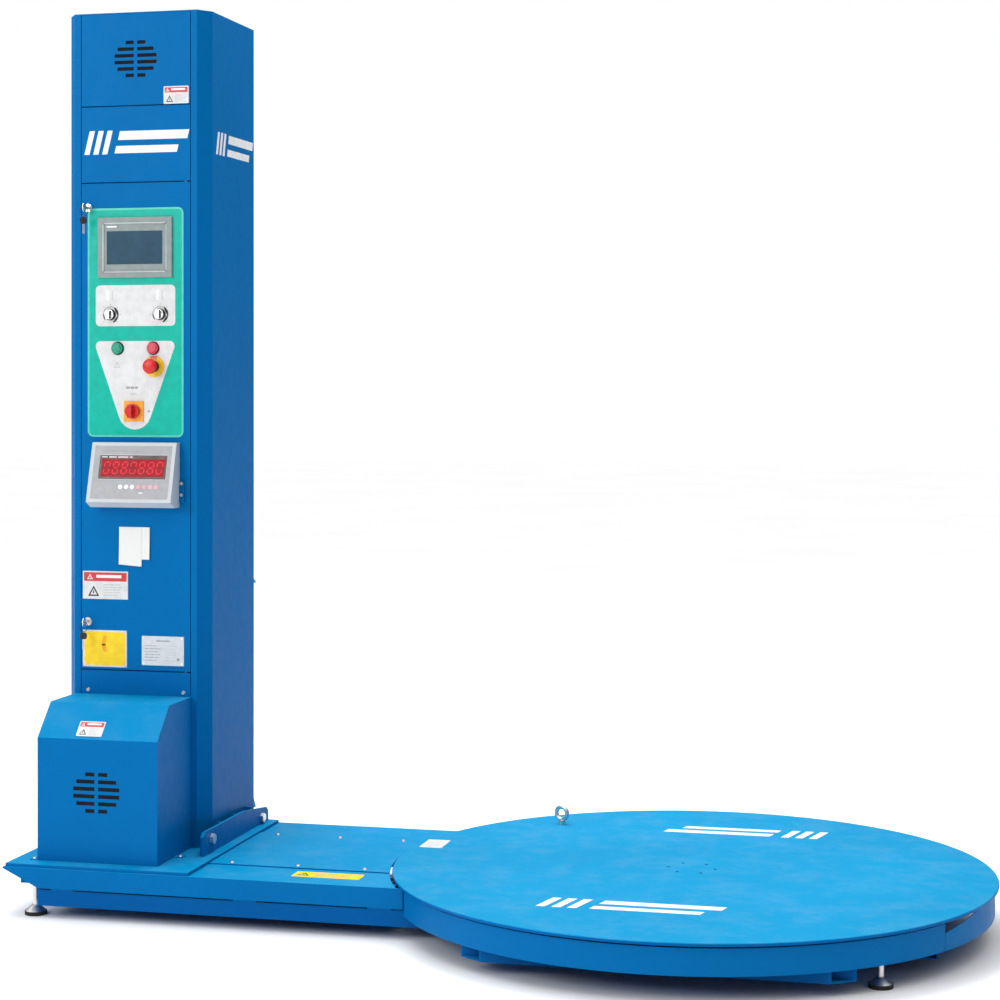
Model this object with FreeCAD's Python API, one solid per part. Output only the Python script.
"""Turntable pallet wrapper, built as separate named pieces.

A turntable turns the loaded pallet while the film carriage climbs the mast.
Axes: +X runs from the mast to the turntable, -Y is the operator side, +Z is up.
The origin is on the floor, in the middle of the machine's length and width.
All sizes are millimetres.
"""
import FreeCAD
import Part
import math
import os

os.makedirs("parts", exist_ok=True)

# ---------------------------------------------------------------- main sizes
OVERALL_LENGTH = 2455.0
DISC_RADIUS = 750.0
DISC_TOP = 135.0
DISC_THICKNESS = 8.0
MAST_HEIGHT = 2327.0
MAST_WIDTH = 400.0
MAST_DEPTH = 363.0
MAST_FRONT_Y = -60.0
MAST_FROM_END = 239.0
DECK_HALF_WIDTH = 352.0
DECK_BELOW_DISC = 10.0
FOOT_PLATE = 8.0
CARRIAGE_HEIGHT = 630.0

# ------------------------------------------------------------- stock and fits
SHEET = 2.0
SKIN = 3.0
DECK_SHEET = 4.0
RUN_FIT = 0.05
SLIP = 0.5
ROLLING_GAP = 0.3
HOLE_PLAY = 0.5

# ------------------------------------------------------------ derived levels
HALF_LENGTH = OVERALL_LENGTH / 2
TURN_X = HALF_LENGTH - DISC_RADIUS
MAST_X = MAST_FROM_END - HALF_LENGTH
DISC_UNDER = DISC_TOP - DISC_THICKNESS
DECK_TOP = DISC_TOP - DECK_BELOW_DISC
DECK_UNDER = DECK_TOP - DECK_SHEET
PLATE_TOP = DECK_TOP + FOOT_PLATE

# ----------------------------------------------------------------- base frame
FRAME_BOTTOM = 31.0
TUBE = 40.0
TUBE_WALL = 3.0
FRAME_TOP = FRAME_BOTTOM + TUBE
RAIL_WIDTH = 60.0
RAIL_SET_BACK = DECK_SHEET
RAIL_OUT = DECK_HALF_WIDTH - RAIL_SET_BACK
RAIL_IN = RAIL_OUT - RAIL_WIDTH
NOSE_LENGTH = 97.0
RAIL_LEFT = -HALF_LENGTH + NOSE_LENGTH + 3.0
SKIRT_INSET = 10.0
SKIRT_RADIUS = DISC_RADIUS - SKIRT_INSET
SKIRT_BOTTOM = 60.0
SKIRT_TOP = DISC_UNDER - 5.0
FRAME_REACH = SKIRT_RADIUS - SHEET - 7.0
OUTRIGGER_Y = DISC_RADIUS * 0.8213
END_TUBE = DISC_RADIUS * 0.768
SPREADER_X = DISC_RADIUS * 0.4
FASCIA_BOTTOM = FRAME_TOP + 4.0
DECK_GAP = 6.0
TUNNEL_HALF = 185.0
TUNNEL_COVER_HALF = 200.0
SKIRT_JOINT = -31.0
SKIRT_SLOPE_END = -18.5
SKIRT_JOINT_DROP = 22.0

# ------------------------------------------------------------ levelling feet
STEM_RADIUS = 7.0
PAD_RADIUS = 28.0
RUBBER_HEIGHT = 10.0
CONE_HEIGHT = 14.0
JAM_NUT_WIDTH = 22.0
JAM_NUT_HEIGHT = 8.0
FOOT_CIRCLE = DISC_RADIUS - 46.5
FOOT_LUG = 10.0
END_FOOT_X = RAIL_LEFT - 27.0
END_FOOT_Y = RAIL_OUT - 36.0

# ------------------------------------------------------- bearing and rollers
SPINDLE_RADIUS = 25.0
HUB_RADIUS = 80.0
BOLT_CIRCLE = 59.0
ROLLER_RADIUS = 22.0
ROLLER_WIDTH = 26.0
ROLLER_AXLE = 7.0
ROLLER_CIRCLE = DISC_RADIUS - 118.0

# ---------------------------------------------------------------- chain drive
CHAIN_PITCH = 19.05
BIG_TEETH = 60
SMALL_TEETH = 15
CHAIN_LEVEL = DECK_UNDER - 13.0
TOOTH_THICKNESS = 8.0
LINK_PLATE = 2.0
LINK_WIDTH = 14.0
LINK_GAP = ROLLING_GAP
DRIVE_Y = MAST_FRONT_Y - 92.0
SHAFT_RADIUS = 14.0

# ---------------------------------------------------------------- motor cover
COVER_LEFT = -169.0
COVER_RIGHT = 157.0
COVER_FRONT_Y = MAST_FRONT_Y - 237.0
COVER_RIDGE_Y = MAST_FRONT_Y - 157.0
COVER_FRONT_HEIGHT = 313.0
COVER_TOP_HEIGHT = 394.0

# ----------------------------------------------------------------------- mast
MAST_BACK_Y = MAST_FRONT_Y + MAST_DEPTH
MAST_HALF = MAST_WIDTH / 2
FLANGE_HALF = MAST_HALF - 28.0
OPENING_HALF = FLANGE_HALF - 17.0
CHAMFER_DEPTH = 40.0
LIP_INNER = OPENING_HALF - 30.0
LIP_Y = MAST_FRONT_Y + 12.0
SLOT_HALF = 110.0
PANEL_HALF = OPENING_HALF - 2.0
SHOE_IN = MAST_HALF + 15.0
SHOE_OUT = SHOE_IN + 8.0
CHEEK_IN = SHOE_OUT + ROLLING_GAP
CHEEK_OUT = CHEEK_IN + 6.0
BOLT_RADIUS = 8.0
BOLT_WIDTH = 24.0
BOLT_HEAD = 9.5
SHOE_FRONT_Y = MAST_FRONT_Y - 90.0
SHOE_BACK_Y = DECK_HALF_WIDTH - 12.0
CAP_HEIGHT = 3.0
SHELL_TOP = MAST_HEIGHT - CAP_HEIGHT

# --------------------------------------------------------- front panels, door
SEAM = 3.0
DOOR_BOTTOM = PLATE_TOP + 460.0
DOOR_TOP = MAST_HEIGHT - 450.0
MARK_TOP = MAST_HEIGHT - 248.0
HINGE_X = PANEL_HALF - 14.0
HINGE_Y = MAST_FRONT_Y + 6.5
HINGE_PIN = 3.0
OVERLAY_HALF = 135.0
OVERLAY_THICK = 1.0
OVERLAY_CORNER = 16.0
OVERLAY_BOTTOM = DOOR_TOP - 670.0
OVERLAY_TOP = DOOR_TOP - 66.0
OVERLAY_Y = MAST_FRONT_Y - OVERLAY_THICK
SCREEN_Z = DOOR_TOP - 168.0
SELECTOR_Z = DOOR_TOP - 347.0
SELECTOR_X = 70.0
BUTTON_Z = DOOR_TOP - 436.0
BUTTON_X = 50.0
STOP_X = 53.0
STOP_Z = DOOR_TOP - 484.0
SWITCH_X = -4.0
SWITCH_Z = DOOR_TOP - 602.0
BEZEL_RADIUS = 15.0
NECK_RADIUS = 11.0
KNOB_STEM = 8.0
STOP_RING = 28.0
STOP_HEAD = 20.0
CAP_RADIUS = 12.0
SWITCH_HALF = 27.0
SWITCH_KNOB = 19.0
BARREL_RADIUS = 7.5
LOCK_FLANGE = 11.0
PLUG_RADIUS = 4.0
LOCK_X = -OVERLAY_HALF + 1.0
UPPER_LOCK_Z = OVERLAY_TOP + 2.0
LOWER_LOCK_Z = DOOR_BOTTOM + 125.0
BEZEL_HALF = 104.0
GLASS_HALF = 78.5
DISPLAY_LEFT = -112.0
DISPLAY_RIGHT = 124.0
DISPLAY_LOW = DOOR_BOTTOM + 430.0
DISPLAY_TOP = DOOR_BOTTOM + 600.0
DISPLAY_LIP = 15.0
DISPLAY_DEPTH = 66.0
DISPLAY_TOP_DEPTH = 22.0
FIGURES_LOW = 62.5
FIGURES_HIGH = 127.0

# ----------------------------------------------------------------- film lift
LIFT_PITCH_RADIUS = 24.5
LIFT_Y = MAST_BACK_Y - 53.0
LIFT_TOP_Z = MAST_HEIGHT - 130.0
LIFT_BOTTOM_Z = PLATE_TOP + 45.0
LIFT_TOOTH = 5.0
CARRIAGE_BOTTOM = PLATE_TOP + 34.0
CARRIAGE_TOP = CARRIAGE_BOTTOM + CARRIAGE_HEIGHT
CARRIAGE_Y = MAST_BACK_Y + 6.0
CARRIAGE_SHEET = 4.0
CARRIAGE_RIGHT = MAST_HALF - 9.0
CARRIAGE_LEFT = -MAST_HALF + 26.0
MANDREL_X = -110.0
MANDREL_Y = CARRIAGE_Y + 275.0
MANDREL_RADIUS = 37.5
MANDREL_LENGTH = 480.0
MANDREL_PIN = 12.0
STRETCH_RADIUS = 40.0
STRETCH_GAP = 4.0
STRETCH_X = 40.0
STRETCH_Y = CARRIAGE_Y + 82.0
IDLER_RADIUS = 20.0
IDLER_X = -60.0
IDLER_Y = CARRIAGE_Y + 121.0
DANCER_X = 20.0
DANCER_Y = CARRIAGE_Y + 161.0
DANCER_ARM = 80.0
DANCER_RADIUS = 18.0
DANCER_AXLE = 6.0
ROLLER_PIN = 8.0


# ------------------------------------------------------------- small helpers
def box(x0, x1, y0, y1, z0, z1):
    """Return a block between two opposite corners."""
    return Part.makeBox(x1 - x0, y1 - y0, z1 - z0, FreeCAD.Vector(x0, y0, z0))


def rod(x, y, z, direction, radius, length):
    """Return a round bar that starts at a point and runs along a direction."""
    start = FreeCAD.Vector(x, y, z)
    return Part.makeCylinder(radius, length, start, FreeCAD.Vector(*direction))


def upright(x, y, radius, z0, z1):
    """Return a vertical round bar."""
    return rod(x, y, z0, (0, 0, 1), radius, z1 - z0)


def across(x, z, radius, y0, y1):
    """Return a round bar that runs front to back."""
    return rod(x, y0, z, (0, 1, 0), radius, y1 - y0)


def along(y, z, radius, x0, x1):
    """Return a round bar that runs along the machine."""
    return rod(x0, y, z, (1, 0, 0), radius, x1 - x0)


def plan(points, z0, z1):
    """Return a plan outline raised into a plate."""
    ring = [FreeCAD.Vector(x, y, z0) for x, y in points]
    face = Part.Face(Part.makePolygon(ring + [ring[0]]))
    return face.extrude(FreeCAD.Vector(0, 0, z1 - z0))


def side_outline(points, x0, x1):
    """Return a side-view outline given as (y, z) made thick along X."""
    ring = [FreeCAD.Vector(x0, y, z) for y, z in points]
    face = Part.Face(Part.makePolygon(ring + [ring[0]]))
    return face.extrude(FreeCAD.Vector(x1 - x0, 0, 0))


def front_outline(points, y0, y1):
    """Return a front-view outline given as (x, z) made thick along Y."""
    ring = [FreeCAD.Vector(x, y0, z) for x, z in points]
    face = Part.Face(Part.makePolygon(ring + [ring[0]]))
    return face.extrude(FreeCAD.Vector(0, y1 - y0, 0))


def rounded_front(x0, x1, z0, z1, corner, y0, y1):
    """Return a front plate with round corners."""
    pieces = [box(x0 + corner, x1 - corner, y0, y1, z0, z1), box(x0, x1, y0, y1, z0 + corner, z1 - corner)]
    for x in (x0 + corner, x1 - corner):
        for z in (z0 + corner, z1 - corner):
            pieces.append(across(x, z, corner, y0, y1))
    return joined(pieces)


def joined(shapes):
    """Return touching shapes welded into one."""
    whole = shapes[0]
    if len(shapes) > 1:
        whole = shapes[0].fuse(shapes[1:])
    return whole.removeSplitter()


def ring_wall(radius, thickness, z0, z1):
    """Return a round wall about the turntable axis."""
    outer = upright(TURN_X, 0, radius, z0, z1)
    return outer.cut(upright(TURN_X, 0, radius - thickness, z0 - 1, z1 + 1))


def sector(start, end, reach, z0, z1):
    """Return a pie slice about the turntable axis between two angles."""
    steps = max(2, int((end - start) / 15.0))
    points = [(TURN_X, 0.0)]
    for i in range(steps + 1):
        angle = math.radians(start + (end - start) * i / steps)
        points.append((TURN_X + reach * math.cos(angle), reach * math.sin(angle)))
    return plan(points, z0, z1)


def hexagon(x, y, z, direction, width, height):
    """Return a hexagon nut or bolt head, given across its flats."""
    corner = width / math.sqrt(3.0)
    points = []
    for i in range(6):
        angle = math.radians(60.0 * i)
        points.append(FreeCAD.Vector(corner * math.cos(angle), corner * math.sin(angle), 0))
    block = Part.Face(Part.makePolygon(points + [points[0]]))
    block = block.extrude(FreeCAD.Vector(0, 0, height))
    turn = FreeCAD.Rotation(FreeCAD.Vector(0, 0, 1), FreeCAD.Vector(*direction))
    block.Placement = FreeCAD.Placement(FreeCAD.Vector(x, y, z), turn)
    return block


def toothed(x, y, z, radius, teeth, tooth_height, thickness):
    """Return a flat toothed wheel on a vertical axis, starting at level z."""
    points = []
    root = radius - tooth_height
    for i in range(teeth):
        for share, reach in ((0.0, root), (0.22, root), (0.4, radius), (0.6, radius), (0.78, root)):
            angle = 2 * math.pi * (i + share) / teeth
            points.append((x + reach * math.cos(angle), y + reach * math.sin(angle)))
    return plan(points, z, z + thickness)


def mirrored_y(shape):
    """Return the shape's twin on the other side of the machine."""
    return shape.mirror(FreeCAD.Vector(0, 0, 0), FreeCAD.Vector(0, 1, 0))


def save(name, shapes):
    """Write one piece to its own file."""
    if isinstance(shapes, list):
        shapes = Part.makeCompound(shapes)
    shapes.exportStep("parts/" + name + ".step")


# ----------------------------------------------------------------- base frame
def tube_x(x0, x1, y0, y1):
    """Return a square tube running along the machine."""
    outer = box(x0, x1, y0, y1, FRAME_BOTTOM, FRAME_TOP)
    wall = TUBE_WALL
    hollow = box(x0 - 1, x1 + 1, y0 + wall, y1 - wall, FRAME_BOTTOM + wall, FRAME_TOP - wall)
    return outer.cut(hollow)


def tube_y(x0, x1, y0, y1):
    """Return a square tube running across the machine."""
    outer = box(x0, x1, y0, y1, FRAME_BOTTOM, FRAME_TOP)
    wall = TUBE_WALL
    hollow = box(x0 + wall, x1 - wall, y0 - 1, y1 + 1, FRAME_BOTTOM + wall, FRAME_TOP - wall)
    return outer.cut(hollow)


def disc_foot_places():
    """Return the two feet that stand under the far side of the turntable."""
    reach = FOOT_CIRCLE * math.cos(math.radians(45))
    return [(TURN_X + reach, -reach), (TURN_X + reach, reach)]


def end_foot_places():
    """Return the two feet at the mast end."""
    return [(END_FOOT_X, -END_FOOT_Y), (END_FOOT_X, END_FOOT_Y)]


def outrigger(side):
    """Return the front or back turntable tube with its two spreaders."""
    near = OUTRIGGER_Y - TUBE
    long_tube = tube_x(TURN_X - DISC_RADIUS, TURN_X + DISC_RADIUS, near, OUTRIGGER_Y)
    reach = upright(TURN_X, 0, FRAME_REACH, FRAME_BOTTOM - 1, FRAME_TOP + 1)
    pieces = [long_tube.common(reach)]
    for sign in (-1, 1):
        mid = TURN_X + sign * SPREADER_X
        pieces.append(tube_y(mid - TUBE / 2, mid + TUBE / 2, RAIL_OUT, near))
    whole = joined(pieces)
    if side < 0:
        whole = mirrored_y(whole)
    return whole


def foot_lug(x, y):
    """Return the threaded lug that takes a foot under the turntable."""
    spreader = TURN_X + SPREADER_X + TUBE / 2
    low = FRAME_TOP - FOOT_LUG
    lug = box(spreader, x + PAD_RADIUS - 4, y - PAD_RADIUS + 4, y + PAD_RADIUS - 4, low, FRAME_TOP)
    return lug.cut(upright(x, y, STEM_RADIUS + HOLE_PLAY, low - 1, FRAME_TOP + 1))


def end_lug(side):
    """Return the raised lug that takes a foot at the mast end."""
    y0 = RAIL_IN if side > 0 else -RAIL_OUT
    low = FRAME_TOP + 15.0
    upright_plate = box(RAIL_LEFT - 6, RAIL_LEFT, y0, y0 + RAIL_WIDTH, FRAME_BOTTOM, low + FOOT_LUG)
    shelf = box(END_FOOT_X - 25, RAIL_LEFT - 6, y0, y0 + RAIL_WIDTH, low, low + FOOT_LUG)
    whole = joined([upright_plate, shelf])
    y = side * END_FOOT_Y
    return whole.cut(upright(END_FOOT_X, y, STEM_RADIUS + HOLE_PLAY, low - 1, low + FOOT_LUG + 1))


def skirt_tab(angle):
    """Return one small tab that carries the skirt on the end of a tube."""
    low = FRAME_TOP - 9.0
    tab = box(TURN_X + FRAME_REACH - 30, TURN_X + SKIRT_RADIUS, -15, 15, low, FRAME_TOP)
    tab = tab.common(upright(TURN_X, 0, SKIRT_RADIUS - SHEET - 0.1, low, FRAME_TOP))
    tab.rotate(FreeCAD.Vector(TURN_X, 0, 0), FreeCAD.Vector(0, 0, 1), angle)
    return tab


def centre_beams():
    """Return the cross tubes between the rails and the plate for the spindle."""
    pieces = []
    first = RAIL_LEFT + 20.0
    last = TURN_X - SPREADER_X
    count = 4
    for i in range(count):
        x = first + (last - first) * i / (count - 1)
        pieces.append(tube_y(x - TUBE / 2, x + TUBE / 2, -RAIL_IN, RAIL_IN))
    for x in (TURN_X, TURN_X + SPREADER_X):
        pieces.append(tube_y(x - TUBE / 2, x + TUBE / 2, -RAIL_IN, RAIL_IN))
    pieces.append(box(TURN_X - 90, TURN_X + 90, -90, 90, FRAME_TOP - TUBE_WALL, FRAME_TOP))
    return pieces


def base_frame():
    """Return the welded tube frame that carries everything."""
    end_x = TURN_X + END_TUBE
    pieces = [tube_x(RAIL_LEFT, end_x, RAIL_IN, RAIL_OUT), tube_x(RAIL_LEFT, end_x, -RAIL_OUT, -RAIL_IN)]
    pieces.append(tube_y(end_x, end_x + TUBE, -RAIL_OUT, RAIL_OUT))
    pieces += centre_beams()
    pieces += [outrigger(1), outrigger(-1), end_lug(1), end_lug(-1)]
    for x, y in disc_foot_places():
        pieces.append(foot_lug(x, y))
    frame = joined(pieces)
    near = math.degrees(math.asin((OUTRIGGER_Y - TUBE / 2) / FRAME_REACH))
    tabs = [skirt_tab(angle) for angle in (near, 180 - near, 180 + near, -near)]
    return joined([frame] + tabs)


def base_deck():
    """Return the folded sheet deck with its side aprons and undercut nose."""
    start = -HALF_LENGTH
    reach = DISC_RADIUS + DECK_GAP
    top = box(start, TURN_X, -DECK_HALF_WIDTH, DECK_HALF_WIDTH, DECK_UNDER, DECK_TOP)
    top = top.cut(upright(TURN_X, 0, reach, DECK_UNDER - 1, DECK_TOP + 1))
    opening_start = MAST_X + SHOE_OUT + 60.0
    top = top.cut(box(opening_start, TURN_X, -TUNNEL_HALF, TUNNEL_HALF, DECK_UNDER - 1, DECK_TOP + 1))
    hole_low = DECK_UNDER - 1
    top = top.cut(upright(MAST_X, DRIVE_Y, SHAFT_RADIUS + 16, hole_low, DECK_TOP + 1))
    apron_end = TURN_X - math.sqrt(SKIRT_RADIUS ** 2 - DECK_HALF_WIDTH ** 2) - 2.0
    apron = front_outline([(start, DECK_UNDER), (start + NOSE_LENGTH, FASCIA_BOTTOM),
                           (apron_end, FASCIA_BOTTOM), (apron_end, DECK_TOP), (start, DECK_TOP)],
                          -DECK_HALF_WIDTH, -RAIL_OUT)
    feet = []
    for x in (start + 160.0, (MAST_X + apron_end) / 2, apron_end - 60.0):
        for y0 in (-RAIL_OUT, RAIL_IN):
            feet.append(box(x - 30, x + 30, y0, y0 + RAIL_WIDTH, FRAME_TOP, DECK_UNDER))
    return joined([top, apron, mirrored_y(apron)] + feet)


def cheek(inner, outer):
    """Return one upright cheek that the mast shoe is bolted to."""
    low = PLATE_TOP
    front = SHOE_FRONT_Y - 10.0
    back = SHOE_BACK_Y + 2.0
    outline = [(front, low), (back, low), (back, low + 26), (back - 14, low + 38),
               (back - 190, low + 60), (front + 12, low + 62), (front, low + 50)]
    plate = side_outline(outline, inner, outer)
    for y, z in shoe_bolt_places():
        plate = plate.cut(along(y, z, BOLT_RADIUS + HOLE_PLAY, inner - 1, outer + 1))
    return plate


def shoe_bolt_places():
    """Return the two bolt places (y, z) on each side of the mast shoe."""
    return [(SHOE_FRONT_Y + 45.0, PLATE_TOP + 36.0), (SHOE_BACK_Y - 57.0, PLATE_TOP + 16.0)]


def mast_foot():
    """Return the thick plate under the mast with its two cheeks."""
    left = -HALF_LENGTH + 5.0
    right = MAST_X + SHOE_OUT + 35.0
    half = DECK_HALF_WIDTH - 6.0
    plate = box(left, right, -half, half, DECK_TOP, PLATE_TOP)
    plate = plate.cut(upright(MAST_X, DRIVE_Y, SHAFT_RADIUS + 10, DECK_TOP - 1, PLATE_TOP + 1))
    pieces = [plate]
    pieces.append(cheek(MAST_X + CHEEK_IN, MAST_X + CHEEK_OUT))
    pieces.append(cheek(MAST_X - CHEEK_OUT, MAST_X - CHEEK_IN))
    return joined(pieces)


def tunnel_screw_places():
    """Return the screw places of the chain tunnel cover."""
    places = []
    first = MAST_X + SHOE_OUT + 90.0
    last = TURN_X - DISC_RADIUS - 50.0
    for i in range(3):
        x = first + (last - first) * i / 2
        places += [(x, -TUNNEL_HALF + 7.0), (x, TUNNEL_HALF - 7.0)]
    return places


def tunnel_cover():
    """Return the flat lid over the chain, rounded to the disc."""
    left = MAST_X + SHOE_OUT + 36.0
    half = TUNNEL_COVER_HALF
    lid = box(left, TURN_X, -half, half, DECK_TOP, DECK_TOP + SKIN)
    lid = lid.cut(upright(TURN_X, 0, DISC_RADIUS + DECK_GAP, DECK_TOP - 1, DECK_TOP + SKIN + 1))
    for x, y in tunnel_screw_places():
        lid = lid.cut(upright(x, y, 3.0, DECK_TOP - 1, DECK_TOP + SKIN + 1))
    return lid


def skirt_ends():
    """Return the two angles where the skirt meets the deck aprons."""
    half = math.degrees(math.asin(DECK_HALF_WIDTH / SKIRT_RADIUS))
    return 180.0 + half + 0.3, 180.0 - half - 0.3


def skirt_front():
    """Return the long skirt segment on the operator side."""
    start = skirt_ends()[0]
    wall = ring_wall(SKIRT_RADIUS, SHEET, SKIRT_BOTTOM, SKIRT_TOP)
    return wall.common(sector(start, 360.0 + SKIRT_JOINT, SKIRT_RADIUS * 1.5, 0, DISC_TOP))


def skirt_access():
    """Return the far skirt segment, its top edge ramped down to the joint."""
    end = skirt_ends()[1]
    wall = ring_wall(SKIRT_RADIUS, SHEET, SKIRT_BOTTOM, SKIRT_TOP)
    wall = wall.common(sector(SKIRT_JOINT + 0.1, end, SKIRT_RADIUS * 1.5, 0, DISC_TOP))
    a = math.radians(SKIRT_JOINT)
    b = math.radians(SKIRT_SLOPE_END)
    reach = SKIRT_RADIUS
    start = FreeCAD.Vector(TURN_X + reach * math.cos(a), reach * math.sin(a), 0)
    finish = FreeCAD.Vector(TURN_X + reach * math.cos(b), reach * math.sin(b), 0)
    run = finish.sub(start).Length
    wedge = side_outline([(0, SKIRT_TOP - SKIRT_JOINT_DROP), (run, SKIRT_TOP), (run, SKIRT_TOP + 30),
                          (-40, SKIRT_TOP + 30), (-40, SKIRT_TOP - SKIRT_JOINT_DROP)], -60, 60)
    heading = math.degrees(math.atan2(finish.y - start.y, finish.x - start.x)) - 90.0
    wedge.rotate(FreeCAD.Vector(0, 0, 0), FreeCAD.Vector(0, 0, 1), heading)
    wedge.translate(start)
    return wall.cut(wedge)


# ------------------------------------------------------------ levelling feet
def foot_heights():
    """Return every foot place with the underside of its lug."""
    low = FRAME_TOP - FOOT_LUG
    places = [(x, y, low) for x, y in disc_foot_places()]
    places += [(x, y, FRAME_TOP + 15.0) for x, y in end_foot_places()]
    return places


def foot_pads():
    """Return the rubber pads."""
    pads = []
    for x, y, _ in foot_heights():
        pad = upright(x, y, PAD_RADIUS, 0, RUBBER_HEIGHT)
        pads.append(pad)
    return pads


def levelling_feet():
    """Return the threaded stems with bell-shaped feet and jam nuts."""
    feet = []
    for x, y, lug in foot_heights():
        bell = Part.makeCone(PAD_RADIUS - 1, 11.0, CONE_HEIGHT, FreeCAD.Vector(x, y, RUBBER_HEIGHT))
        stem = upright(x, y, STEM_RADIUS, RUBBER_HEIGHT + CONE_HEIGHT - 1, lug + FOOT_LUG + 20)
        nut = hexagon(x, y, lug + FOOT_LUG, (0, 0, 1), JAM_NUT_WIDTH, JAM_NUT_HEIGHT)
        feet.append(joined([bell, stem, nut]))
    return feet


# -------------------------------------------------------- bearing and rollers
def centre_bearing():
    """Return the fixed flange and spindle the turntable turns on."""
    flange = upright(TURN_X, 0, HUB_RADIUS, FRAME_TOP, FRAME_TOP + 10)
    spindle = upright(TURN_X, 0, SPINDLE_RADIUS, FRAME_TOP + 9, DISC_UNDER - 9)
    return joined([flange, spindle])


def chain_radius(teeth):
    """Return the pitch radius of a chainwheel."""
    return CHAIN_PITCH / (2 * math.sin(math.pi / teeth))


def turntable_chainwheel():
    """Return the big chainwheel with its hub, bolted under the disc."""
    low = CHAIN_LEVEL - TOOTH_THICKNESS / 2
    wheel = toothed(TURN_X, 0, low, chain_radius(BIG_TEETH) + 4, BIG_TEETH, 9, TOOTH_THICKNESS)
    for i in range(6):
        angle = math.radians(60 * i + 30)
        x = TURN_X + 125 * math.cos(angle)
        wheel = wheel.cut(upright(x, 125 * math.sin(angle), 28, low - 1, low + TOOTH_THICKNESS + 1))
    hub = upright(TURN_X, 0, HUB_RADIUS, low - 6, DISC_UNDER)
    whole = joined([wheel, hub])
    whole = whole.cut(upright(TURN_X, 0, SPINDLE_RADIUS + RUN_FIT, low - 7, DISC_UNDER - 7))
    for x, y in disc_screw_places():
        whole = whole.cut(upright(x, y, 6, DISC_UNDER - 16, DISC_UNDER + 1))
    return whole


def disc_screw_places():
    """Return the six screws that hold the disc to its hub."""
    places = []
    for i in range(6):
        angle = math.radians(60 * i)
        places.append((TURN_X + BOLT_CIRCLE * math.cos(angle), BOLT_CIRCLE * math.sin(angle)))
    return places


def countersunk(x, y, top, radius, depth):
    """Return a countersunk screw head and shank below a surface."""
    head = Part.makeCone(radius, radius * 2, radius, FreeCAD.Vector(x, y, top - radius))
    return joined([head, upright(x, y, radius, top - depth, top - radius / 2)])


def disc_screws():
    """Return the six countersunk screws with their hexagon sockets."""
    screws = []
    for x, y in disc_screw_places():
        screw = countersunk(x, y, DISC_TOP, 6.0, 24.0)
        screws.append(screw.cut(hexagon(x, y, DISC_TOP - 5, (0, 0, 1), 8.0, 6.0)))
    return screws


def eyebolt_place():
    """Return where the lifting eye is screwed into the disc."""
    reach = DISC_RADIUS * 0.843
    angle = math.radians(132.6)
    return TURN_X + reach * math.cos(angle), reach * math.sin(angle)


def turntable_disc():
    """Return the steel disc with eased edges."""
    edge = 1.5
    profile = [(0, DISC_UNDER), (DISC_RADIUS - edge, DISC_UNDER), (DISC_RADIUS, DISC_UNDER + edge),
               (DISC_RADIUS, DISC_TOP - edge), (DISC_RADIUS - edge, DISC_TOP), (0, DISC_TOP)]
    ring = [FreeCAD.Vector(TURN_X + r, 0, z) for r, z in profile]
    face = Part.Face(Part.makePolygon(ring + [ring[0]]))
    disc = face.revolve(FreeCAD.Vector(TURN_X, 0, 0), FreeCAD.Vector(0, 0, 1), 360)
    for x, y in disc_screw_places():
        disc = disc.cut(countersunk(x, y, DISC_TOP, 6.0, 24.0))
    x, y = eyebolt_place()
    return disc.cut(upright(x, y, 5.0, DISC_UNDER - 1, DISC_TOP + 1))


def disc_eyebolt():
    """Return the lifting eye screwed into the disc."""
    x, y = eyebolt_place()
    shank = upright(x, y, 5.0, DISC_UNDER + 0.5, DISC_TOP + 1)
    collar = upright(x, y, 11.0, DISC_TOP, DISC_TOP + 8)
    middle = FreeCAD.Vector(x, y, DISC_TOP + 30)
    ring = Part.makeTorus(17.0, 6.0, middle, FreeCAD.Vector(0.35, 0.94, 0))
    return joined([shank, collar, ring])


def roller_places():
    """Return the angle of each support roller about the turntable axis."""
    middle = RAIL_OUT - RAIL_WIDTH / 2
    angle = math.degrees(math.asin(middle / ROLLER_CIRCLE))
    return [angle, 180 - angle, 180 + angle, 360 - angle]


def roller_level():
    """Return the height of the support roller axles."""
    return DISC_UNDER - ROLLING_GAP - ROLLER_RADIUS


def place_on_circle(shape, angle):
    """Move a piece drawn at the origin out to the roller circle."""
    shape.translate(FreeCAD.Vector(TURN_X + ROLLER_CIRCLE, 0, 0))
    shape.rotate(FreeCAD.Vector(TURN_X, 0, 0), FreeCAD.Vector(0, 0, 1), angle)
    return shape


def roller_brackets():
    """Return the four angle brackets with their welded stub axles."""
    level = roller_level()
    half = ROLLER_WIDTH / 2
    brackets = []
    for angle in roller_places():
        foot = box(-half - 6, half + 9, -20, 20, FRAME_TOP, FRAME_TOP + 5)
        wall = box(half + 3, half + 9, -20, 20, FRAME_TOP, level + 11)
        axle = along(0, level, ROLLER_AXLE, -half - 4, half + 8)
        washer = along(0, level, 12, -half - 4, -half - 1)
        shoulder = along(0, level, 12, half + 1, half + 4)
        brackets.append(place_on_circle(joined([foot, wall, axle, washer, shoulder]), angle))
    return brackets


def support_roller(angle):
    """Return one roller that carries the disc rim."""
    half = ROLLER_WIDTH / 2
    wheel = along(0, roller_level(), ROLLER_RADIUS, -half, half)
    wheel = wheel.cut(along(0, roller_level(), ROLLER_AXLE + RUN_FIT, -half - 1, half + 1))
    return place_on_circle(wheel, angle)


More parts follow.
